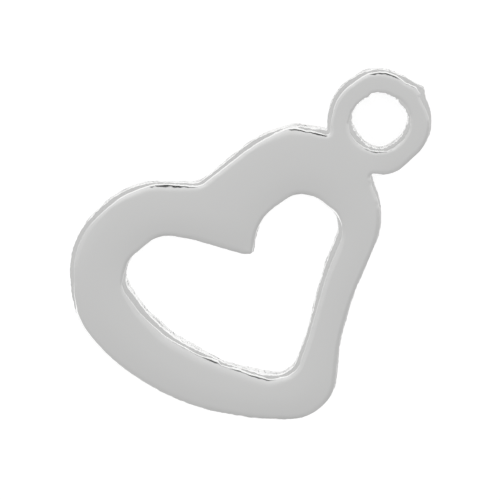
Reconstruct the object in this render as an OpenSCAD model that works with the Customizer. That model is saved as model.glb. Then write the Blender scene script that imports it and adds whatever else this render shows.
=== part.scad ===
// Heart charm: a flat, open, leaning heart with a loop at its top, stamped in one piece from sheet.
// It lies on its back. The front is up, the axis of the loop's bore is the Z axis through the origin,
// and the heart hangs from the loop towards -Y. All sizes are in millimetres.

/* [Sheet] */
// Thickness of the sheet
sheet_t = 1.0; // [0.8:0.05:1.2]
// Width of the soft shoulder along the front's outer edge
shoulder_w = 0.22; // [0.1:0.01:0.24]
// Depth of that shoulder
shoulder_h = 0.17; // [0.1:0.01:0.25]
// Rounding of the edges at the back
back_round = 0.07; // [0.04:0.01:0.1]

/* [Opening] */
// Width of the rounding round the heart-shaped opening at the front
opening_w = 0.14; // [0.08:0.01:0.16]
// Depth of that rounding
opening_h = 0.12; // [0.08:0.01:0.2]

/* [Loop] */
// Bore of the loop, which takes a jump ring or a cord
bore_d = 1.95; // [1.8:0.05:2.05]
// Width of the rounding at the front mouth of the bore
mouth_w = 0.11; // [0.05:0.01:0.14]

/* [Hidden] */

// Largest angle between two points on a rounded corner
step_angle = 7.5;
// Smallest radius that a corner keeps
sharp_r = 0.01;
// How far each cutter passes through a face
past = 0.2;

// The heart's outer outline, anticlockwise as columns x, y and corner radius.
// The first and last corners lie inside the loop's rim.
heart_corners = [
    [-0.45, -1.20, 0.10],
    [-1.75, -1.95, 1.60],
    [-2.45, -3.10, 3.80],
    [-2.73, -5.71, 0.65],
    [-4.44, -7.40, 3.00],
    [-4.60, -10.03, 2.70],
    [-2.65, -11.92, 3.00],
    [-0.42, -12.06, 7.00],
    [2.58, -11.50, 7.50],
    [5.45, -9.04, 1.50],
    [5.54, -7.75, 1.30],
    [3.94, -5.76, 8.00],
    [2.66, -2.68, 2.60],
    [2.00, -1.94, 2.40],
    [0.80, -1.35, 0.10],
];

// The opening's outline, anticlockwise as columns x, y and corner radius.
// The first corner is the cleft's tip, which points into the opening.
opening_corners = [
    [0.15, -6.22, 0.20],
    [-2.56, -7.73, 1.00],
    [-2.67, -9.33, 0.90],
    [-2.08, -9.87, 1.20],
    [-0.95, -10.18, 4.00],
    [0.39, -10.16, 5.00],
    [2.16, -9.68, 6.00],
    [4.17, -8.42, 0.80],
    [3.37, -6.73, 12.00],
    [2.28, -4.93, 8.00],
    [1.72, -3.63, 0.90],
    [1.25, -3.23, 0.90],
    [0.15, -3.28, 1.10],
    [-0.36, -3.71, 0.60],
    [-0.52, -5.16, 1.60],
];

// A point inside each outline that sees all of it
heart_centre = [0.6, -7.9];
opening_centre = [0.9, -7.9];

// The loop's rim about the bore, anticlockwise as columns x, y and corner radius.
// The first corner is the nib where the blank was cut from its strip, and the rim is a little flat on
// its right. The last two corners lie inside the heart.
loop_corners = [
    [0.31, 1.76, 0.03],
    [-0.93, 1.41, 1.15],
    [-1.44, 0.95, 1.15],
    [-1.73, -0.74, 1.70],
    [-0.46, -1.92, 0.60],
    [0.48, -2.04, 0.60],
    [1.60, -0.91, 1.00],
    [1.64, 0.70, 1.40],
    [1.00, 1.39, 1.50],
    [0.55, 1.58, 0.03],
];
loop_centre = [0, 0];

function unit(v) = v / norm(v);
function left_of(v) = [-v.y, v.x];
function turned(v, a) = [v.x * cos(a) - v.y * sin(a), v.x * sin(a) + v.y * cos(a)];
// Angle from direction a to direction b, positive to the left
function turn_between(a, b) = atan2(a.x * b.y - a.y * b.x, a * b);

// Points of corner i once every side of the outline has moved inwards by inset
function corner_points(corners, i, inset) =
    let (
        n = len(corners),
        here = [corners[i].x, corners[i].y],
        before = [corners[(i + n - 1) % n].x, corners[(i + n - 1) % n].y],
        after = [corners[(i + 1) % n].x, corners[(i + 1) % n].y],
        a = unit(here - before),
        b = unit(after - here),
        turn = turn_between(a, b),
        side = sign(turn),
        moved = here + inset * (left_of(a) + left_of(b)) / (1 + left_of(a) * left_of(b)),
        r = max(corners[i][2] - side * inset, sharp_r),
        start = moved - a * r * tan(abs(turn) / 2),
        centre = start + side * r * left_of(a),
        steps = ceil(abs(turn) / step_angle)
    )
    [for (k = [0 : steps]) centre + turned(start - centre, turn * k / steps)];

// The whole outline, with every side moved inwards by inset
function ring(corners, inset) =
    [for (i = [0 : len(corners) - 1]) each corner_points(corners, i, inset)];

// Rows of inset and height for a rounded edge, from the side wall up to the front face
function front_edge(w, h, steps = 5) =
    [for (k = [0 : steps]) [w * (1 - cos(90 * k / steps)), sheet_t - h * (1 - sin(90 * k / steps))]];

// The same from the back face up to the side wall
function back_edge(w, h, steps = 2) =
    [for (k = [0 : steps]) [w * (1 - sin(90 * k / steps)), h * (1 - cos(90 * k / steps))]];

// A solid with one ring of the outline for each row of inset and height, from the lowest row up,
// closed at both ends by triangles that meet above the centre
module stacked(corners, rows, centre) {
    rings = [for (row = rows) ring(corners, row[0])];
    n = len(rings[0]);
    top = len(rows) - 1;
    points = [
        for (k = [0 : top]) for (p = rings[k]) [p.x, p.y, rows[k][1]],
        [centre.x, centre.y, rows[0][1]],
        [centre.x, centre.y, rows[top][1]],
    ];
    low_mid = n * (top + 1);
    high_mid = low_mid + 1;
    faces = [
        for (k = [0 : top - 1]) for (i = [0 : n - 1])
            let (j = (i + 1) % n, low = k * n, high = low + n)
            each [[low + i, high + i, high + j], [low + i, high + j, low + j]],
        for (i = [0 : n - 1]) [i, (i + 1) % n, low_mid],
        for (i = [0 : n - 1]) [top * n + (i + 1) % n, top * n + i, high_mid],
    ];
    polyhedron(points, faces);
}

// Rows of the blank's outer edge, from the back to the front
outer_rows = concat(back_edge(back_round, back_round), front_edge(shoulder_w, shoulder_h));

module heart_blank() {
    stacked(heart_corners, outer_rows, heart_centre);
}

module loop_blank() {
    stacked(loop_corners, outer_rows, loop_centre);
}

// The opening's cutter widens towards both faces and passes straight through them
module opening_cutter() {
    widen = function (rows) [for (row = rows) [-row[0], row[1]]];
    rows = concat(
        [[-back_round, -past]],
        widen(back_edge(back_round, back_round)),
        widen(front_edge(opening_w, opening_h, 4)),
        [[-opening_w, sheet_t + past]]
    );
    stacked(opening_corners, rows, opening_centre);
}

// The bore is a true cylinder with rounded mouths
module bore_cutter() {
    bore_r = bore_d / 2;
    rows = concat(back_edge(back_round, back_round), front_edge(mouth_w, mouth_w, 3));
    rotate_extrude($fn = 96)
        polygon(concat(
            [[0, -past], [bore_r + back_round, -past]],
            [for (row = rows) [bore_r + row[0], row[1]]],
            [[bore_r + mouth_w, sheet_t + past], [0, sheet_t + past]]
        ));
}

module heart_charm() {
    color("silver")
    difference() {
        union() {
            heart_blank();
            loop_blank();
        }
        opening_cutter();
        bore_cutter();
    }
}

heart_charm();
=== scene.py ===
# %% [markdown]
# # A stamped silver heart charm
# The real charm is one flat piece of sterling silver sheet: an open, leaning heart with a round loop at
# its top. A press punches it out in one stroke, and a barrel of small steel shot polishes it. This
# lesson builds what such a piece looks like close up: the flat mirror face, the soft shoulder that the
# punch draws over each edge, the torn wall below it, and the light that a mirror needs to be seen at all.

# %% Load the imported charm
import math
from collections import namedtuple

import bpy
import numpy as np
from mathutils import Matrix, Vector, geometry, noise


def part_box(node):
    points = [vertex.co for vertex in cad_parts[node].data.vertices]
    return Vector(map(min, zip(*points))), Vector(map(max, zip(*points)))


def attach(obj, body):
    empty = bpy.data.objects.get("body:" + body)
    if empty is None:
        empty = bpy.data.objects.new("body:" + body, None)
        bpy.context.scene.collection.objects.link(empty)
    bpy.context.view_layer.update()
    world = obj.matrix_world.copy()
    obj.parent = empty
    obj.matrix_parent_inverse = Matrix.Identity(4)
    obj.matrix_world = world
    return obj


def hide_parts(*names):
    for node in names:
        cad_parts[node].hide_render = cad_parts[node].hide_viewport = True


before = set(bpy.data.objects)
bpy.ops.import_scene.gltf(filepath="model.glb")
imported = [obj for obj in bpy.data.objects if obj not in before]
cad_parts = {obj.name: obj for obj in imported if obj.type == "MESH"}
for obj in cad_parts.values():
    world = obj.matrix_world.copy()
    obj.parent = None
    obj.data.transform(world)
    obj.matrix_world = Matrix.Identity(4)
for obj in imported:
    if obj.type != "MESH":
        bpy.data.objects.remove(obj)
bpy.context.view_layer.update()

low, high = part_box("heart_charm")
MM = 0.001
sheet = high.z / MM
print("solid, mm:", [round(v / MM, 2) for v in (*low, *high)], "sheet", round(sheet, 2))

# %% [markdown]
# ## The camera
# The charm lies on its back and the photographer looks down on it, leaning a little over its upper
# edge, so that the walls that face up the picture just show. The loop points to the upper right. We
# write that as three directions in the charm's own frame: right and up along the table as the picture
# has them, and the table's normal. A long lens from about 90 mm away keeps the outline nearly parallel.

# %% Directions of the picture in the charm's frame
loop_angle = math.radians(45.5)      # how far the charm's +Y is turned from the picture's right
lean = math.radians(13.5)            # how far the view leans from straight down
along_right = Vector((math.sin(loop_angle), math.cos(loop_angle), 0))
along_up = Vector((-math.cos(loop_angle), math.sin(loop_angle), 0))
straight_up = Vector((0, 0, 1))
to_camera = math.cos(lean) * straight_up + math.sin(lean) * along_up
camera_up = math.cos(lean) * along_up - math.sin(lean) * straight_up
print("the camera stands", round(90 - math.degrees(lean), 1), "degrees above the table")

# %% The camera
aim = Vector((0.05, -6.16, 0.5)) * MM
camera_distance = 90 * MM
picture_side = 500                   # pixels
pixels_per_mm = 30                   # at the aim
camera_data = bpy.data.cameras.new("camera")
camera_data.sensor_width = 36
camera_data.lens = camera_data.sensor_width * pixels_per_mm * (camera_distance / MM) / picture_side
camera_data.clip_start = 1 * MM
camera_data.clip_end = 10
camera = bpy.data.objects.new("camera", camera_data)
bpy.context.scene.collection.objects.link(camera)
turn = Matrix((along_right, camera_up, to_camera)).transposed()
camera.matrix_world = Matrix.Translation(aim + camera_distance * to_camera) @ turn.to_4x4()
bpy.context.scene.camera = camera
print("lens", round(camera_data.lens, 1), "mm")

# %% [markdown]
# ## The outline
# The punch cuts straight lines and round bends, so a table of corners with a radius each holds the whole
# shape, as a toolmaker's drawing would. The heart and the loop are two such outlines that cross in two
# tight notches. A single outline is easier to finish, so we cut both where they cross, put a corner with
# a very small radius there, and go round heart, notch, loop and notch in one run.

# %% Corner tables: x, y and radius in mm, anticlockwise
heart_corners = [
    (-1.75, -1.95, 1.60), (-2.45, -3.10, 3.80), (-2.73, -5.71, 0.65), (-4.44, -7.40, 3.00),
    (-4.60, -10.03, 2.70), (-2.65, -11.92, 3.00), (-0.42, -12.06, 7.00), (2.58, -11.50, 7.50),
    (5.45, -9.04, 1.50), (5.54, -7.75, 1.30), (3.94, -5.76, 8.00), (2.66, -2.68, 2.60),
    (2.00, -1.94, 2.40),
]
loop_corners = [
    (1.60, -0.91, 1.00), (1.64, 0.70, 1.40), (1.00, 1.39, 1.50), (0.55, 1.58, 0.03),
    (0.31, 1.76, 0.03), (-0.93, 1.41, 1.15), (-1.44, 0.95, 1.15), (-1.73, -0.74, 1.70),
]
opening_corners = [
    (0.12, -6.16, 0.08), (-0.08, -6.35, 0.80), (-2.56, -7.73, 1.00), (-2.67, -9.33, 0.90),
    (-2.08, -9.87, 1.20), (-0.95, -10.18, 4.00), (0.39, -10.16, 5.00), (2.16, -9.68, 6.00),
    (4.17, -8.42, 0.80), (3.37, -6.73, 12.00), (2.28, -4.93, 8.00), (1.72, -3.63, 0.90),
    (1.25, -3.23, 0.90), (0.15, -3.28, 1.10), (-0.36, -3.71, 0.60), (-0.52, -5.16, 1.60),
]
bore_radius = 0.975
print("corners: heart", len(heart_corners), "loop", len(loop_corners), "opening", len(opening_corners))

# %% The two notches
# Where each outline would go on, inside the other one
heart_under_loop = [(0.80, -1.35), (-0.45, -1.20)]     # after the heart's last corner, before its first
loop_in_heart = [(-0.46, -1.92), (0.48, -2.04)]        # after the loop's last corner, before its first
notch_radius = 0.07


def crossing(a, b, c, d):
    """Where the line from a to b meets the line from c to d."""
    a, b, c, d = (Vector(p[:2]) for p in (a, b, c, d))
    along, other = b - a, d - c
    share = (c - a).cross(other) / along.cross(other)
    return a + share * along


right_notch = crossing(heart_corners[-1], heart_under_loop[0], loop_in_heart[1], loop_corners[0])
left_notch = crossing(loop_corners[-1], loop_in_heart[0], heart_under_loop[1], heart_corners[0])
rim_corners = [
    *heart_corners, (*right_notch, notch_radius),
    *loop_corners, (*left_notch, notch_radius),
]
print("notches at", [round(v, 2) for v in (*left_notch, *right_notch)], "corners:", len(rim_corners))


# %% [markdown]
# ## Walking round an outline
# Every edge of the charm is the same kind of thing: a line that runs round the outline, pushed inwards a
# little at each level. So we need one tool, a walk round the outline with a stop every few hundredths of
# a millimetre, and the place of each stop for any inset. Sides move inwards parallel to themselves, and
# an outer bend's radius shrinks by the inset while an inner bend's grows, as on the real metal.

# %% Bends
least_radius = 0.01


def left_of(v):
    return Vector((-v.y, v.x))


def bends(corners):
    """For each corner: its place, the way in, the turn and how the corner moves with the inset."""
    rows = []
    for i, (x, y, radius) in enumerate(corners):
        here = Vector((x, y))
        before = Vector(corners[i - 1][:2])
        after = Vector(corners[(i + 1) % len(corners)][:2])
        a, b = (here - before).normalized(), (after - here).normalized()
        turn = math.atan2(a.cross(b), a.dot(b))
        mitre = (left_of(a) + left_of(b)) / (1 + left_of(a).dot(left_of(b)))
        rows.append((here, a, turn, mitre, radius))
    return rows


def on_bend(bend, share, inset):
    """The point a share of the way round a bend, once the outline has moved inwards by inset."""
    here, a, turn, mitre, radius = bend
    side = math.copysign(1, turn)
    r = max(radius - side * inset, least_radius)
    start = here + inset * mitre - a * r * math.tan(abs(turn) / 2)
    centre = start + side * r * left_of(a)
    return centre + Matrix.Rotation(turn * share, 2) @ (start - centre)


print("turns of the rim in all:", round(math.degrees(sum(bend[2] for bend in bends(rim_corners)))), "degrees")

# %% Stops along bends and straight sides
stop_spacing = 0.045                 # mm


def walk(corners, spacing, finest=math.radians(4)):
    """Stops round the outline, each a function from inset to place, with the way out of the outline."""
    rows = bends(corners)
    stops = []
    for i, bend in enumerate(rows):
        _, a, turn, _, radius = bend
        steps = max(math.ceil(abs(turn) / finest), math.ceil(abs(turn) * radius / spacing))
        for k in range(steps + 1):
            share = k / steps
            out = -(Matrix.Rotation(turn * share, 2) @ left_of(a))
            stops.append((lambda inset, bend=bend, share=share: on_bend(bend, share, inset), out))
        following = rows[(i + 1) % len(rows)]
        gap = (on_bend(following, 0, 0) - on_bend(bend, 1, 0)).length
        pieces = max(1, round(gap / spacing))
        for k in range(1, pieces):
            share = k / pieces
            stops.append((
                lambda inset, bend=bend, following=following, share=share:
                    on_bend(bend, 1, inset).lerp(on_bend(following, 0, inset), share),
                stops[-1][1],
            ))
    return stops


rim = walk(rim_corners, stop_spacing)
opening = walk(opening_corners, stop_spacing)
print("stops: rim", len(rim), "opening", len(opening))

# %% Stops round the bore
bore_spacing = 0.7 * stop_spacing    # finer, because the bore is torn the worst


def circle_walk(radius, spacing):
    """The same for the bore, walked anticlockwise."""
    count = round(2 * math.pi * radius / spacing)
    ways = [Vector((math.cos(2 * math.pi * k / count), math.sin(2 * math.pi * k / count)))
            for k in range(count)]
    return [(lambda inset, way=way: way * (radius - inset), way) for way in ways]


bore = circle_walk(bore_radius, bore_spacing)
print("stops: bore", len(bore))

# %% [markdown]
# ## The edge of a punched blank
# Look at a punched edge under a loupe and there are four zones. The punch first draws the face down into
# a soft shoulder, called the die roll. Then it cuts a narrow bright band. Then the metal tears, and the
# torn wall stands a little proud of the band, so that a narrow ledge is left between them. The wall runs
# down to the back, where tumbling has rounded it. The slopes matter more than anything else for the look,
# because each one mirrors something else. The soft shoulder ends at about 26 degrees and mirrors the pale
# cloth overhead. Beside it runs a steeper strip, only a few hundredths of a millimetre wide, that mirrors
# the dark gap low over the table: the thin dark line that comes and goes along the upper edges. Then a
# small radius turns down into the band and mirrors the bright table.
#
# A bevel modifier would round every edge alike and could not tear a wall, so we build the edge ourselves.
# No punch sits quite true in its die and sheet tears differently along and across its grain, so none of
# these widths is the same all the way round. We note them at places round each outline, as one would with
# a measuring loupe, and go evenly from each place to the next.

# %% Marks on the rim, anticlockwise, with widths in hundredths of a millimetre
# Each mark has its place x, y in mm, the width of the shoulder, of the steep strip beside it and of the
# small radius, and then the insets of the band, of the ledge's end and of the wall's foot
rim_marks = [
    (-1.15, -1.60, 13, 4.5, 7, 5.5, -3.5, -1), (-1.40, -1.75, 15, 3, 7, 6.5, 3, 2),
    (-1.56, -1.86, 17, 1, 7, 8.5, 3.5, 4), (-1.71, -1.99, 20, 3, 7, 5, 2, 2),
    (-1.85, -2.14, 24, 3, 7, 0.5, 2, 0), (-1.96, -2.30, 24, 1.5, 7, -1.5, 1, 0),
    (-2.06, -2.47, 22, 3, 7, 0, -1, 0), (-2.24, -2.83, 16, 3, 7, 4, -3, 0),
    (-2.49, -3.59, 8, 3, 7, 7, -3.5, 2), (-2.65, -4.98, 9, 3, 7, 4.5, -1.5, 1),
    (-2.72, -5.57, 10, 3, 7, 4, -3.5, 2), (-2.80, -5.76, 13, 2, 7, 3, -1.5, 1),
    (-3.22, -6.19, 18, 4.5, 5, -1.5, -3.5, 1), (-3.50, -6.47, 19, 6.5, 2, -3.5, -5.5, 1),
    (-3.78, -6.76, 19, 3.5, 7, -3.5, -7, 0), (-3.90, -6.91, 19, 2, 7, -2, -6, -1),
    (-4.12, -7.25, 17, 3, 7, 3, -4, -2), (-4.37, -7.80, 11, 3, 7, 7, -1.5, 1),
    (-4.46, -8.18, 6, 3, 5, 11, 0, 2), (-4.52, -9.18, 10, 3, 2, 13, 2.5, 5),
    (-4.37, -9.86, 10, 4, 1, 15, 1, 4), (-3.59, -11.01, 9, 4.5, 1, 14, 0, 0),
    (-2.90, -11.57, 11, 4, 6, 7, 0, 1), (-2.45, -11.79, 10, 1, 22, -5.5, -6, 0),
    (-2.16, -11.88, 10, 1, 24, -7.5, -8, -1), (-1.57, -11.99, 10, 1, 24, -8, -8, -1),
    (-0.97, -12.02, 12, 2, 17, -7, -8, -1), (-0.17, -11.99, 15, 3, 14, -6, -7, 0),
    (0.42, -11.90, 17, 4, 6, -3, -5, 0), (2.33, -11.32, 18, 4.5, 1, -0.5, -2.5, 0),
    (3.54, -10.63, 18, 4.5, 1, 0.5, -1.5, 0), (4.10, -10.20, 18, 4.5, 1, -3.5, -5.5, 0),
    (4.63, -9.75, 18, 4.5, 1, -4.5, -6.5, 0), (5.14, -9.28, 17, 4.5, 1, -0.5, -2.5, 0),
    (5.46, -8.66, 16, 4.5, 1, -1.5, -3.5, 0), (5.20, -7.33, 13, 4.5, 1, -1, -7, -3),
    (4.34, -6.23, 12, 4.5, 1, 0, -4, -2), (3.96, -5.64, 12, 4.5, 1, -2, -8, -3),
    (3.36, -4.38, 11, 4.5, 1, 1, -2.5, -1), (2.97, -3.40, 12, 4.5, 1, -1.5, -5, -2),
    (2.47, -2.48, 12, 4.5, 1, 0, -4, -1), (1.38, -1.63, 8, 4.5, 1, 10, 2, 2),
    (1.32, -1.19, 13, 4.5, 1, -2, -4, 0), (1.63, 0.13, 12, 4.5, 1, -2, -5, 0),
    (1.25, 1.10, 8, 4, 1, 6, -1.5, 0), (0.94, 1.39, 7, 3, 1, 13, 0, 1),
    (0.42, 1.68, 6, 3, 1, 21.5, 2, 3), (0.24, 1.74, 8, 3, 3, 17, 1, 3),
    (0.05, 1.69, 13, 3, 7, 6.5, 0, 4), (-0.33, 1.58, 13, 1, 7, 9.5, -2, 1),
    (-0.53, 1.52, 14, 1, 7, 6, -0.5, 2), (-0.72, 1.47, 14, 4.5, 7, 5, 1.5, 3),
    (-1.00, 1.32, 13, 5.5, 7, 4.5, 1.5, 3), (-1.22, 1.15, 12, 5, 7, 4, 0.5, 2),
    (-1.43, 0.81, 11, 3, 7, 2.5, -2, 0), (-1.49, 0.62, 9, 3, 7, 2.5, -5.5, -2),
    (-1.56, 0.23, 7, 3, 7, 3, -8.5, -4), (-1.54, -0.56, 8, 3, 4, 4.5, -6.5, -2),
    (-1.39, -0.93, 6, 3, 2, 9, -3.5, -1), (-1.16, -1.26, 7, 3, 1, 8, -3, 0),
]
print("marks on the rim:", len(rim_marks))

# %% Marks on the opening
opening_marks = [
    (-2.12, -9.81, 5, 3, 2, 15.5, 3, 0), (-1.94, -9.90, 7, 3, 2, 15.5, 3, -0.5),
    (-1.56, -10.01, 12, 3, 3, 11, -1.5, -1), (-1.17, -10.10, 15, 3, 3, 10, -4, -2.5),
    (-0.77, -10.16, 17, 3, 4, 7, -4, -4.5), (-0.37, -10.17, 20, 2, 6, 5, -5, -6),
    (0.03, -10.16, 24, 2, 7, 5, -3.5, -5), (0.42, -10.11, 27, 2, 7, 1.5, -5, -6),
    (0.82, -10.04, 28, 1.5, 6, -1, -5.5, -8), (1.20, -9.94, 28, 1.5, 5, 0, -8, -8),
    (1.59, -9.83, 28, 4, 6, -5, -8.5, -6), (1.74, -9.78, 28, 5.5, 7, -8, -10, -5),
    (1.96, -9.69, 28, 5, 7, -8, -9, -2), (2.10, -9.63, 28, 1, 3, -1, -6, -1),
    (2.32, -9.53, 28, 1, 3, -1, -6, -1), (2.45, -9.46, 28, 3, 5, -3, -6, -2),
    (2.68, -9.34, 28, 4, 7, -4.5, -6, -2), (2.86, -9.24, 28, 1.5, 7, -1, -4.5, -3),
    (3.03, -9.14, 27, 3, 7, 1, -3, -3), (3.20, -9.03, 26, 4, 7, 2, -1, -3),
    (3.37, -8.92, 25, 4.5, 7, 4, 1, -3), (3.54, -8.82, 24, 4, 7, 4, -3, -3),
    (3.69, -8.70, 22, 2, 7, 1.5, -4, -2), (3.82, -8.54, 18, 2, 7, -1, -4.5, 0),
    (3.90, -8.36, 13, 3, 7, 1.5, -5, 0), (3.94, -8.17, 12, 3, 6, 3, -5, 0),
    (3.93, -7.97, 12, 3, 3, 6, -3, 1), (3.87, -7.78, 12, 4, 2, 8, -2, 1.5),
    (3.24, -6.53, 13, 4.5, 2, 6.5, -1, 0), (2.88, -5.92, 13, 4.5, 2, 8, -2, -1),
    (2.52, -5.32, 13, 4.5, 2, 9.5, 0, 1), (1.91, -4.07, 13, 4.5, 2, 13.5, -2, 0),
    (1.54, -3.48, 7, 4, 1, 11, 0, 1), (1.15, -3.27, 8, 2, 18, 1.5, 0, 1),
    (0.80, -3.24, 10, 1, 24, -6, -6, 0), (0.50, -3.26, 13, 4, 6, -0.5, -3, 0),
    (0.21, -3.32, 16, 4.5, 1, -1.5, -4.5, 0), (-0.33, -3.75, 15, 4.5, 1, -5.5, -8.5, 0),
    (-0.44, -4.44, 11, 4, 8, -3, -5, 0), (-0.44, -5.20, 10, 4, 8, -3, -5, 0),
    (-0.10, -5.83, 10, 4.5, 1, 0, -4.5, 0), (0.01, -6.00, 7, 3, 5, -2, -8, 0),
    (0.11, -6.16, 7, 3, 5, -3, -6, 0), (-0.04, -6.31, 12, 4.5, 1, -3, -5, 0),
    (-0.36, -6.51, 16, 4.5, 1, -2, -4, 0), (-0.97, -6.85, 16, 4.5, 1, 0.5, -1.5, 0),
    (-1.59, -7.19, 16, 4.5, 1, 2, -0.5, 0), (-2.19, -7.53, 15, 4.5, 1, -4, -7, 0),
    (-2.63, -8.80, 11, 4, 8, -2, -4, 0), (-2.48, -9.47, 10, 4.5, 1, 2, -3, 0),
]
print("marks on the opening:", len(opening_marks))

# %% Marks on the bore
bore_marks = [
    (0.97, 0.00, 7, 3, 4, 1, -7, -4.5), (0.89, 0.39, 6, 3, 2, 2, -8, -4),
    (0.80, 0.56, 6, 3, 2, 2, -7, -5), (0.66, 0.71, 7, 3, 2, 1, -5, -3.5),
    (0.51, 0.83, 8, 3, 1, 1, -4.5, -4), (0.13, 0.97, 9, 4, 1, -1, -12, -5),
    (-0.07, 0.97, 9, 4, 1, -3, -9, -5), (-0.27, 0.94, 9, 4, 1, -5.5, -10, -5),
    (-0.62, 0.75, 9, 3, 1, -2, -6, -3), (-0.87, 0.45, 8, 3, 1, 1, -3, -1),
    (-0.93, 0.30, 8, 3, 1, -7, -11, -5), (-0.97, -0.14, 8, 3, 1, -1.5, -6, -3),
    (-0.83, -0.51, 7, 3, 1, 2, -3.5, -5), (-0.56, -0.80, 8, 2, 2, 9, -3.5, -7),
    (-0.38, -0.90, 9, 1, 3, 9, -4.5, -9), (0.01, -0.97, 11, 1, 7, 5, -7, -8),
    (0.20, -0.95, 11, 1, 7, 4, -5.5, -4), (0.39, -0.89, 10, 2.5, 7, 4, -3.5, -2),
    (0.57, -0.79, 9, 4, 7, 3, -1, 1), (0.72, -0.66, 8, 3, 7, 3.5, 1, 2),
    (0.84, -0.50, 8, 1, 7, 5, -3, 1), (0.92, -0.32, 8, 2, 7, 3, -7, -3),
]
print("marks on the bore:", len(bore_marks))

# %% Widths at every stop
Widths = namedtuple("Widths", "roll strip bend band lip foot")


def widths_along(stops, marks):
    """The widths in mm at every stop, going evenly from each mark to the next one."""
    edge = np.array([place(0)[:] for place, way in stops])
    steps = np.linalg.norm(np.roll(edge, -1, axis=0) - edge, axis=1)
    at = np.concatenate([[0], np.cumsum(steps)[:-1]])
    marked = [at[np.argmin(np.linalg.norm(edge - mark[:2], axis=1))] for mark in marks]
    columns = [np.interp(at, marked, [mark[k] / 100 for mark in marks], period=steps.sum())
               for k in range(2, 8)]
    return [Widths(*map(float, row)) for row in zip(*columns)]


rim_widths, opening_widths, bore_widths = (
    widths_along(rim, rim_marks), widths_along(opening, opening_marks), widths_along(bore, bore_marks))
print("shoulder from", round(min(w.roll for w in rim_widths + opening_widths + bore_widths), 2),
      "to", round(max(w.roll for w in rim_widths + opening_widths + bore_widths), 2), "mm wide")

# %% [markdown]
# ## Rows of one edge
# We write the zones as rows, from back to front. A row takes a share of each width, so that one list of
# rows serves every place, and a flat zone gets two more rows close beside each of its corners, because
# smooth shading would otherwise round the corner off. Low on the wall, where the tear from the punch met
# the tear from the die, a second small step is left here and there.

# %% Slopes and heights of the edge
soft_tilt = math.radians(26)         # the shoulder's slope where it ends, against the face beside it
edge_tilt = math.radians(30.5)       # the slope where the small radius starts
ledge_height = 0.72                  # where the bright band ends
ledge_drop = 0.008                   # fall of the ledge from its inner to its outer end
step_height = 0.33                   # where the second step lies
back_round = 0.06
crisp = 0.004                        # distance from a corner to the rows that keep it crisp
Row = namedtuple("Row", "foot lip band bend strip roll more height sink drop fall "
                        "torn wander dented shift step")
plain = Row(*[0] * len(Row._fields))
print("the steep strip slopes", round(math.degrees((soft_tilt + edge_tilt) / 2), 1), "degrees on average")


# %% Rows of one edge
def edge_rows(soft_steps=8, radius_steps=6):
    """Rows from back to front. A row lies at the sum of its shares of the six widths and a few hundredths
    more, at height - sink * bend - drop * strip - fall * roll. The other columns say how torn, wandering
    and dented it is, and whether it moves with the punch and with the second step."""
    rows = [plain._replace(foot=1, more=back_round + 0.03)]
    for k in range(5):
        turn = math.radians(90 * k / 4)
        rows.append(plain._replace(foot=1, more=back_round * (1 - math.sin(turn)),
                                   height=back_round * (1 - math.cos(turn)), torn=k / 8, step=k / 4))
    lip_height = ledge_height - ledge_drop
    # Heights up the wall, each with its share of the second step
    wall = [(0.15, 1), (0.24, 1), (step_height - 0.01, 1), (step_height - crisp, 1),
            (step_height, 0.8), (step_height + 0.002, 0.2), (step_height + 0.01, 0), (step_height + 0.02, 0),
            (0.45, 0), (0.55, 0), (0.63, 0), (lip_height - 0.02, 0), (lip_height - 2 * crisp, 0),
            (lip_height - crisp, 0)]
    for height, step in wall:
        rise = min(1, height / (lip_height - 0.03))
        rows.append(plain._replace(foot=1 - rise, lip=rise, height=height, torn=0.5 + 0.5 * rise,
                                   wander=rise, step=step))
    for along in (0.001, 0.001 + crisp, 0.001 + 2 * crisp):
        rows.append(plain._replace(lip=1, more=along, height=lip_height, torn=1, wander=1))
    for back in (2 * crisp, crisp, 0):
        rows.append(plain._replace(band=1, more=-back, height=ledge_height, torn=0.3, wander=1, shift=1))
    fall = math.tan(soft_tilt / 2)               # depth of the soft shoulder for each mm of its width
    drop = math.tan((soft_tilt + edge_tilt) / 2)
    for up in (crisp, 2 * crisp):
        rows.append(plain._replace(band=1, height=ledge_height + up, wander=1, shift=1))
    for k in range(radius_steps + 1):
        tilt = math.radians(90) + (edge_tilt - math.radians(90)) * k / radius_steps
        rows.append(plain._replace(band=1, bend=1 - math.sin(tilt), height=sheet,
                                   sink=math.cos(edge_tilt) - math.cos(tilt), drop=drop, fall=fall,
                                   dented=k / radius_steps, shift=1))
    shoulder = plain._replace(band=1, bend=1 - math.sin(edge_tilt), height=sheet, fall=fall, dented=1,
                              shift=1)
    for share in (1 / 3, 2 / 3):
        tilt = edge_tilt + (soft_tilt - edge_tilt) * share / 2
        rows.append(shoulder._replace(strip=share, drop=drop - share * math.tan(tilt)))
    for k in range(soft_steps + 1):
        tilt = soft_tilt * (1 - k / soft_steps)
        flat = 1 - math.sin(tilt) / math.sin(soft_tilt)
        rows.append(shoulder._replace(strip=1, roll=flat, fall=(1 - math.cos(tilt)) / math.sin(soft_tilt),
                                      dented=1 - k / soft_steps, shift=1 - flat))
    rows.append(shoulder._replace(strip=1, roll=1, more=0.02, fall=0, dented=0, shift=0))
    return rows


rows = edge_rows()
print("rows from back to front:", len(rows))

# %% [markdown]
# ## The crown
# Tumbling wears metal down where it is struck from many sides, so it rounds the face off towards every
# edge and most of all on the narrow loop. A good measure of that is how much metal is missing round a
# point, within about half a millimetre. A sum over the outline's stops gives it without any grid: each
# short stretch of the outline adds the share of the neighbourhood that it closes off.

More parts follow.
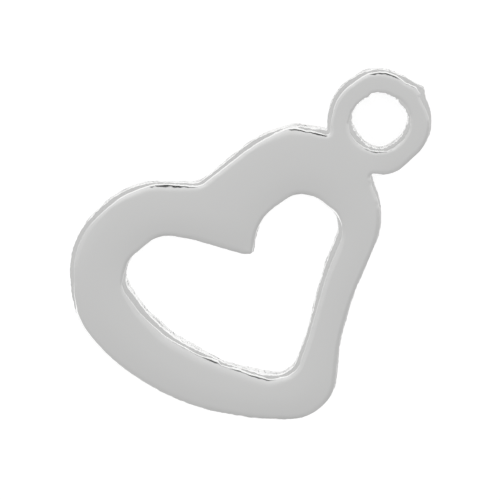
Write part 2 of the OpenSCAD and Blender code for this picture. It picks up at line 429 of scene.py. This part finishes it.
# %% How far the front has worn down
wear_reach = 0.55                    # mm
wear_depth = 0.27                    # mm, where all the metal round a point is missing
wear_free = 0.03                     # mm, added back, so that on the whole the sheet keeps its thickness
outlines = [(rim, 1), (opening, -1), (bore, -1)]
stop_places, stop_ways = [], []
for stops, side in outlines:
    ring = np.array([place(0)[:] for place, way in stops])
    length = np.linalg.norm(np.roll(ring, -1, axis=0) - np.roll(ring, 1, axis=0), axis=1) / 2
    stop_places.append(ring)
    stop_ways.append(side * np.array([way[:] for place, way in stops]) * length[:, None])
stop_places, stop_ways = np.concatenate(stop_places), np.concatenate(stop_ways)


def crown(xy):
    """How far the front lies below the sheet's full thickness, at each of the points."""
    worn = []
    for part in np.array_split(np.asarray(xy), max(1, len(xy) // 500)):
        to_stop = stop_places[None] - part[:, None]
        far = np.maximum((to_stop ** 2).sum(axis=2), 1e-9)
        share = (to_stop * stop_ways[None]).sum(axis=2) / (2 * math.pi * far)
        covered = (share * (1 - np.exp(-far / (2 * wear_reach ** 2)))).sum(axis=1)
        worn.append(wear_depth * (1 - covered) - wear_free)
    return np.concatenate(worn)


print("crown on the loop's rim, in the middle of the left side and at its edge:",
      crown([(1.3, 0.3), (-3.6, -8.6), (-4.4, -8.6)]).round(3))


# %% [markdown]
# ## Skins
# A skin joins neighbouring rows with small four-sided faces. Torn metal isn't smooth: we push each point
# of the torn rows in or out by a few hundredths of a millimetre, with a noise that is stretched down the
# wall, because the tear runs that way. A slower noise moves the ledge up and down, which is the uneven
# line that shows on the real walls, and a small one chips the shoulder's end. Tumbling leaves shallow
# dents along the shoulder's outer strip, only a few thousandths deep. They tip the mirror by a few degrees
# and break up its bright line. A displace modifier could push the surface about too, but it would need a
# group of points for each zone, so we move the points themselves, row by row.

# %% How rough each zone is
tear_grain = 0.022                   # mm, fine grain
tear_wave = 0.012                    # mm, the slower wander of the lip
bore_grain = 0.060                   # mm, the same two for the bore, where the tear is the worst
bore_wave = 0.020
step_depth = 0.035                   # mm, how far the second step stands out
step_part = 0.15                     # the larger, the more of the wall has that step
ledge_wander = 0.03                  # mm, up and down
punch_wander = 0.015                 # mm, how far the shoulder wanders in and out
chips = 0.010                        # mm, how ragged the shoulder's end is
bore_chips = 0.020
dent_depth = 0.0050                  # mm
# Over how many mm each of them changes
grain_size, wave_size, step_size, ledge_size, punch_size, chip_size, dent_size = (
    0.08, 0.38, 0.45, 0.9, 1.3, 0.11, 0.17)
# Places in the noise, in mm away from the charm, so that no two of them rise and fall together
wave_place, step_place, ledge_place, punch_place, chip_place, dent_place = 9, 20, 5, 40, 60, 7


def rough(x, y, z, size, drawn_out=0.45):
    """A noise from -1 to 1 that changes over about size mm along the wall and more slowly down it."""
    return noise.noise(Vector((x, y, z * drawn_out)) / size)


print("grain at three heights of one wall:",
      [round(rough(5.5, -8.4, z, grain_size), 2) for z in (0.2, 0.3, 0.4)])

# %% Points of one skin
points, faces = [], []


def skin(stops, widths, outwards, grain=tear_grain, wave=tear_wave, chipped=chips):
    """Adds one edge. outwards is 1 where the metal is inside the outline, -1 where it is outside.
    Returns the indices of the innermost points at the back and at the front."""
    rings = []
    edge = [place(0) for place, way in stops]
    shifts = [punch_wander * rough(spot.x, spot.y, punch_place, punch_size)
              + chipped * rough(spot.x, spot.y, chip_place, chip_size) for spot in edge]
    stands_out = [step_depth * max(0, rough(spot.x, spot.y, step_place, step_size) + step_part)
                  for spot in edge]
    worn_edge = crown([place(outwards * w.band)[:] for (place, way), w in zip(stops, widths)])
    for row in rows:
        depths = [row.foot * w.foot + row.lip * w.lip + row.band * w.band + row.bend * w.bend
                  + row.strip * w.strip + row.roll * w.roll + row.more + row.shift * shift - row.step * out
                  for w, shift, out in zip(widths, shifts, stands_out)]
        bases = [place(outwards * depth) for (place, way), depth in zip(stops, depths)]
        worn = worn_edge * min(1, row.height / ledge_height)
        if row.band == 1 and row.height > ledge_height:
            worn = crown([base[:] for base in bases])
        ring = []
        for (place, way), here, base, w, down in zip(stops, edge, bases, widths, worn):
            push = row.torn * (grain * rough(here.x, here.y, row.height, grain_size)
                               + wave * rough(here.x + wave_place, here.y, row.height, wave_size))
            spot = base + outwards * push * way
            level = row.height - row.sink * w.bend - row.drop * w.strip - row.fall * w.roll - down
            level += ledge_wander * row.wander * rough(here.x, here.y + ledge_place, 0, ledge_size)
            level += dent_depth * row.dented * rough(base.x, base.y, dent_place, dent_size)
            ring.append(len(points))
            points.append((spot.x, spot.y, level))
        rings.append(ring)
    for lower, upper in zip(rings, rings[1:]):
        for k in range(len(lower)):
            j = (k + 1) % len(lower)
            face = (lower[k], lower[j], upper[j], upper[k])
            faces.append(face if outwards > 0 else face[::-1])
    return rings[0], rings[-1]


rim_back, rim_front = skin(rim, rim_widths, 1)
opening_back, opening_front = skin(opening, opening_widths, -1)
bore_back, bore_front = skin(bore, bore_widths, -1, bore_grain, bore_wave, bore_chips)
print("points on the edges:", len(points), "faces:", len(faces))


# %% [markdown]
# ## The two faces
# The front and the back are flat areas with two openings in them. Big flat areas of long thin triangles
# shade badly on a mirror, so we scatter evenly spaced points over them and let a Delaunay triangulation
# join them to the skins. The front is not perfectly flat: tumbling has rounded it off very slightly
# towards every edge, and the points follow that crown.

# %% Which points lie in the metal
def inside(loops, xy):
    """Which of the points lie in the metal, by counting how often a line to the left is crossed."""
    hits = np.zeros(len(xy), int)
    for loop in loops:
        a, b = loop, np.roll(loop, -1, axis=0)
        above = (a[:, 1][None] > xy[:, 1][:, None]) != (b[:, 1][None] > xy[:, 1][:, None])
        rise = (xy[:, 1][:, None] - a[:, 1]) / np.where(b[:, 1] == a[:, 1], 1, b[:, 1] - a[:, 1])
        at = a[:, 0] + rise * (b[:, 0] - a[:, 0])
        hits += (above & (at < xy[:, 0][:, None])).sum(axis=1)
    return hits % 2 == 1


def nearest(loops, xy):
    """Distance from each point to the nearest point of the loops."""
    return np.min([np.min(np.hypot(xy[:, 0][:, None] - l[:, 0], xy[:, 1][:, None] - l[:, 1]), axis=1)
                   for l in loops], axis=0)


outline_loops = [np.array([place(0)[:] for place, way in stops]) for stops, side in outlines]
print("metal on the bore's axis and in the left side:",
      inside(outline_loops, np.array([(0, 0), (-3.6, -8.6)])).tolist())

# %% Evenly spaced points on the faces
grid = 0.16                          # mm between the scattered points
grid_rows = grid * math.sqrt(3) / 2  # mm between their rows, so that they make even triangles
grid_margin = 0.45 * grid            # mm that they keep from the skins


def flat_face(boundaries, height, front):
    """Fills the area between the boundaries, with scattered points that follow the crown."""
    loops = [np.array([points[k][:2] for k in ring]) for ring in boundaries]
    x0, y0 = loops[0].min(axis=0)
    x1, y1 = loops[0].max(axis=0)
    scattered = np.array([
        (x0 + (i + 0.5 * (j % 2)) * grid, y0 + j * grid_rows)
        for j in range(int((y1 - y0) / grid_rows) + 1)
        for i in range(int((x1 - x0) / grid) + 1)
    ])
    scattered = scattered[inside(loops, scattered)]
    scattered = scattered[nearest(loops, scattered) > grid_margin]
    worn = crown(scattered) if front else np.zeros(len(scattered))
    index = [k for ring in boundaries for k in ring]
    for (x, y), down in zip(scattered, worn):
        index.append(len(points))
        points.append((x, y, height - down))
    flat = [Vector(points[k][:2]) for k in index]
    links, first = [], 0
    for ring in boundaries:
        walked = [(first + k, first + (k + 1) % len(ring)) for k in range(len(ring))]
        links += walked if first == 0 else [(b, a) for a, b in walked]
        first += len(ring)
    out, _, triangles, origin, _, _ = geometry.delaunay_2d_cdt(flat, links, [], 0, 1e-6, True)
    middles = np.array([sum((out[k] for k in t), Vector((0, 0))) / 3 for t in triangles])
    metal_on_left = set(links)
    kept = 0
    for t, in_metal in zip(triangles, inside(loops, middles)):
        ends = [origin[k][0] for k in t]
        sides = list(zip(ends, ends[1:] + ends[:1]))
        if any((b, a) in metal_on_left for a, b in sides):
            continue
        if in_metal or any(side in metal_on_left for side in sides):
            face = tuple(index[k] for k in ends)
            faces.append(face if front else face[::-1])
            kept += 1
    return len(scattered), kept


print("front: scattered points and triangles", flat_face([rim_front, opening_front, bore_front], sheet, True))
print("back: scattered points and triangles", flat_face([rim_back, opening_back, bore_back], 0, False))

# %% The charm as one mesh
mesh = bpy.data.meshes.new("charm")
mesh.from_pydata([tuple(v * MM for v in p) for p in points], [], faces)
mesh.polygons.foreach_set("use_smooth", [True] * len(mesh.polygons))
mesh.update()
charm = bpy.data.objects.new("charm", mesh)
bpy.context.scene.collection.objects.link(charm)
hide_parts("heart_charm")
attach(charm, "root")
print("charm:", len(mesh.vertices), "points", sum(len(p.vertices) - 2 for p in mesh.polygons), "triangles")

# %% [markdown]
# ## Sterling silver
# Silver reflects nearly all the light that falls on it, with hardly any colour of its own. Tumbled silver
# is a mirror with a very fine haze, never a perfect one, and the haze is a little uneven. The torn wall
# scatters light much more, and small pits lie between its tear lines. The shade in them is painted into
# the colour as darker spots. Two materials on two sets of faces would meet in a hard line. So one material
# holds both finishes, as it is one piece of metal, and the height on the wall and the way that the surface
# faces decide which one shows.

# %% The silver
clean_silver = (0.90, 0.90, 0.895, 1)
silver = bpy.data.materials.new("silver")
silver.use_nodes = True
charm.data.materials.append(silver)
silver_tree = silver.node_tree
metal = silver_tree.nodes["Principled BSDF"]
metal.inputs["Base Color"].default_value = clean_silver
metal.inputs["Metallic"].default_value = 1.0
print("silver, as clean metal:", clean_silver[:3])


# %% Helpers for nodes
def added(tree, kind, **settings):
    """A new node in a tree, with its settings and its unlinked inputs."""
    made = tree.nodes.new(kind)
    for name, value in settings.items():
        if name in made.inputs:
            made.inputs[name].default_value = value
        else:
            setattr(made, name, value)
    return made


def eased(tree, value, start, end):
    """0 before start and 1 past end, easing over in between."""
    made = added(tree, "ShaderNodeMapRange", interpolation_type="SMOOTHSTEP")
    tree.links.new(value, made.inputs["Value"])
    made.inputs["From Min"].default_value = start
    made.inputs["From Max"].default_value = end
    return made.outputs[0]


def product(tree, a, b):
    """One value times another."""
    made = added(tree, "ShaderNodeMath", operation="MULTIPLY")
    tree.links.new(a, made.inputs[0])
    tree.links.new(b, made.inputs[1])
    return made.outputs[0]


coordinates = added(silver_tree, "ShaderNodeTexCoord")
print("nodes in the silver so far:", len(silver_tree.nodes))


# %% Where the wall is torn
def clouds(scale, detail, place=coordinates.outputs["Object"]):
    """A noise from 0 to 1, with about as many clouds in a metre as scale says."""
    made = added(silver_tree, "ShaderNodeTexNoise", Scale=scale, Detail=detail)
    silver_tree.links.new(place, made.inputs["Vector"])
    return made.outputs["Fac"]


def upward_part(vector):
    """The Z of a vector."""
    made = added(silver_tree, "ShaderNodeSeparateXYZ")
    silver_tree.links.new(vector, made.inputs[0])
    return made.outputs["Z"]


torn_below = ledge_height - 0.22     # mm above the table, under which the wall is torn all over
torn_fade = 0.06                     # mm over which the bright finish goes over into the torn one
torn_wander = 0.12                   # mm by which that border wanders up and down
face_up, wall_up = 0.95, 0.70        # how far the surface faces up or down, on a face and on a wall
border_clouds = 2600.0               # in a metre
lifted = added(silver_tree, "ShaderNodeMath", operation="MULTIPLY_ADD")
silver_tree.links.new(clouds(border_clouds, 2.0), lifted.inputs[0])
lifted.inputs[1].default_value = torn_wander * MM
silver_tree.links.new(upward_part(coordinates.outputs["Object"]), lifted.inputs[2])
below_band = eased(silver_tree, lifted.outputs[0], (torn_below + torn_fade) * MM, torn_below * MM)
upright = added(silver_tree, "ShaderNodeMath", operation="ABSOLUTE")
silver_tree.links.new(upward_part(coordinates.outputs["Normal"]), upright.inputs[0])
torn = product(silver_tree, below_band, eased(silver_tree, upright.outputs[0], face_up, wall_up))
print("torn finish below", round(torn_below, 2), "mm")

# %% Painted shade in the pits between the tear lines
pit_clouds = 18000.0                 # in a metre
pit_drawn_out = 0.25                 # the pits are four times longer down the wall, as the tear runs
pit_edge, pit_core = 0.53, 0.68      # noise where a pit starts and where it is deepest
# The grey of the painted shade in the pits
pit_shade_grey = 0.48
down_the_wall = added(silver_tree, "ShaderNodeMapping", Scale=(1, 1, pit_drawn_out))
silver_tree.links.new(coordinates.outputs["Object"], down_the_wall.inputs["Vector"])
in_pit = eased(silver_tree, clouds(pit_clouds, 2.0, down_the_wall.outputs[0]), pit_edge, pit_core)
# Painted shade: where a pit lies on the torn wall, the silver's colour turns towards that darker grey
shade_in_pits = product(silver_tree, in_pit, torn)
colour = added(silver_tree, "ShaderNodeMix", data_type="RGBA")
silver_tree.links.new(shade_in_pits, colour.inputs["Factor"])
colour.inputs["A"].default_value = clean_silver
colour.inputs["B"].default_value = (pit_shade_grey, pit_shade_grey, pit_shade_grey, 1)
silver_tree.links.new(colour.outputs["Result"], metal.inputs["Base Color"])
print("pits about", round(1 / (pit_clouds * MM), 3), "mm wide")

# %% Haze of the polish
best_polish, least_polish = 0.09, 0.15
torn_roughness = 0.4
haze_clouds = 900.0                  # in a metre
polish = added(silver_tree, "ShaderNodeMapRange")
silver_tree.links.new(clouds(haze_clouds, 3.0), polish.inputs["Value"])
polish.inputs["To Min"].default_value = best_polish
polish.inputs["To Max"].default_value = least_polish
roughness = added(silver_tree, "ShaderNodeMix", data_type="FLOAT")
silver_tree.links.new(torn, roughness.inputs["Factor"])
silver_tree.links.new(polish.outputs[0], roughness.inputs[2])
roughness.inputs[3].default_value = torn_roughness
silver_tree.links.new(roughness.outputs[0], metal.inputs["Roughness"])
print("roughness from", best_polish, "on the face to", torn_roughness, "on the torn wall")

# %% [markdown]
# ## Table and light
# A mirror shows only what stands round it, so the light is the larger half of this picture. The charm lies
# on a plain white table in a tent of pale cloth. The cloth is a soft grey beside the brightly lit table, a
# little lighter towards the upper part of the picture, with a paler panel at either side and a darker
# lower right. At the far side the tent is open, between about 20 and 38 degrees above the table. That
# dark gap draws the thin dark line on the shoulders that face up the picture. The table glows like a
# sheet of opal glass lit from below, and a weak lamp hangs over it, so that torn walls and bore stay bright.
# Cards and lamps could stand round the charm instead, but tones on the world's sky look the same in the
# mirror and never get in the way of a view from another side.

# %% The table
table_half = 0.6                     # m, half of its side
table_gap = 0.004 * MM               # it lies this far under the charm, so that no two faces share a place
table_tone, table_glow = 0.6, 0.66   # together they come out white
table_mesh = bpy.data.meshes.new("table")
ends = (-table_half, table_half)
table_corners = [(x, y, 0) for y in ends for x in ends]
table_mesh.from_pydata(table_corners, [], [(0, 1, 3, 2)])
table = bpy.data.objects.new("table", table_mesh)
table.location = (0, 0, -table_gap)
bpy.context.scene.collection.objects.link(table)
opal = bpy.data.materials.new("table_white")
opal.use_nodes = True
table_surface = opal.node_tree.nodes["Principled BSDF"]
table_surface.inputs["Base Color"].default_value = (table_tone, table_tone, table_tone, 1)
table_surface.inputs["Emission Color"].default_value = (1, 1, 1, 1)
table_surface.inputs["Emission Strength"].default_value = table_glow
table_surface.inputs["Roughness"].default_value = 0.9
table_surface.inputs["Specular IOR Level"].default_value = 0.1
table.data.materials.append(opal)
print("table:", 2 * table_half, "m wide")

# %% The tent and the ways in it
world = bpy.data.worlds.new("tent")
bpy.context.scene.world = world
world.use_nodes = True
tent = world.node_tree
ray = added(tent, "ShaderNodeTexCoord").outputs["Generated"]


def along_picture(degrees):
    """The way along the table that many degrees anticlockwise from the picture's right."""
    angle = math.radians(degrees)
    return math.cos(angle) * along_right + math.sin(angle) * along_up


def facing(way):
    """How far each ray into the tent goes one way, from -1 to 1."""
    made = added(tent, "ShaderNodeVectorMath", operation="DOT_PRODUCT")
    tent.links.new(ray, made.inputs[0])
    made.inputs[1].default_value = way
    return made.outputs["Value"]


print("up the picture, in the charm's frame:", [round(v, 2) for v in along_picture(90)])

# %% The cloth
# Tones of the cloth from the picture's lower edge, at 0, to its upper one, at 1
cloth_tones = [
    (0.0, 0.43), (0.02, 0.50), (0.06, 0.535), (0.2, 0.568), (0.305, 0.591), (0.385, 0.609), (0.5, 0.620),
    (0.6, 0.633), (0.71, 0.658), (0.81, 0.717), (0.885, 0.79), (1.0, 0.87),
]
lighter_side = 94                    # degrees
spread = added(tent, "ShaderNodeMapRange")
tent.links.new(facing(along_picture(lighter_side)), spread.inputs["Value"])
spread.inputs["From Min"].default_value = -1
cloth = added(tent, "ShaderNodeValToRGB")
tent.links.new(spread.outputs[0], cloth.inputs["Fac"])
for k, (at, tone) in enumerate(cloth_tones):
    stop = cloth.color_ramp.elements[k] if k < 2 else cloth.color_ramp.elements.new(at)
    stop.position = at
    stop.color = (tone, tone, tone, 1)
print("tent tones", cloth_tones[0][1], "to", cloth_tones[-1][1])


# %% Panels, the darker corner and the gap
def toned(colour, blend, share, tone):
    """The cloth's colour with a grey tone added, taken away or laid over it, as far as share says."""
    made = added(tent, "ShaderNodeMix", data_type="RGBA", blend_type=blend)
    tent.links.new(share, made.inputs["Factor"])
    tent.links.new(colour, made.inputs["A"])
    made.inputs["B"].default_value = (tone, tone, tone, 1)
    return made.outputs["Result"]


panel_tone, corner_tone, gap_tone = 0.05, 0.048, 0.04
sideways, upwards, overhead = facing(along_right), facing(along_up), facing(straight_up)
either_side = added(tent, "ShaderNodeMath", operation="ABSOLUTE")
tent.links.new(sideways, either_side.inputs[0])
# The limits are parts of a ray's length: a panel starts 0.15 to the side, is full from 0.55 on and fades
# out below the middle of the picture. The darker corner starts there, farther to the right.
panels = product(tent, eased(tent, either_side.outputs[0], 0.15, 0.55), eased(tent, upwards, -0.28, -0.02))
darker_corner = product(tent, eased(tent, sideways, 0.35, 0.75), eased(tent, upwards, -0.02, -0.18))

gap_side = 78                        # degrees, the middle of the gap
gap_half, gap_half_soft = 17, 23     # degrees to either side where it is full and where it ends
gap_foot, gap_foot_full, gap_top_full, gap_top = (math.sin(math.radians(d)) for d in (20, 23, 34.5, 38))
gap_middle = math.cos(math.radians(31))       # how far a ray 31 degrees up goes along the table
in_width = eased(tent, facing(along_picture(gap_side)), gap_middle * math.cos(math.radians(gap_half_soft)),
                 gap_middle * math.cos(math.radians(gap_half)))
in_height = product(tent, eased(tent, overhead, gap_top, gap_top_full),
                    eased(tent, overhead, gap_foot, gap_foot_full))
shown = toned(cloth.outputs["Color"], "ADD", panels, panel_tone)
shown = toned(shown, "SUBTRACT", darker_corner, corner_tone)
shown = toned(shown, "MIX", product(tent, in_width, in_height), gap_tone)
tent.links.new(shown, tent.nodes["Background"].inputs["Color"])
print("gap from", round(math.degrees(math.asin(gap_foot))), "to", round(math.degrees(math.asin(gap_top))),
      "degrees above the table")

# %% The lamp over the table
lamp_side = 0.5                      # m
lamp_height = 0.4                    # m
lamp_radiance = 0.25
lamp_data = bpy.data.lights.new("lamp", "AREA")
lamp_data.shape = "SQUARE"
lamp_data.size = lamp_side
lamp_data.energy = lamp_radiance * math.pi * lamp_side ** 2
lamp = bpy.data.objects.new("lamp", lamp_data)
lamp.location = (0, -6 * MM, lamp_height)     # over the middle of the heart
lamp.visible_glossy = False
lamp.visible_camera = False
bpy.context.scene.collection.objects.link(lamp)
print("lamp:", round(lamp_data.energy, 2), "W")

# %% [markdown]
# ## Colours as the camera saw them
# The photograph has plain contrast and a clean white table, so the picture is shown without any film look.

# %% View and sizes
bpy.context.scene.view_settings.view_transform = "Standard"
print("view:", bpy.context.scene.view_settings.view_transform)
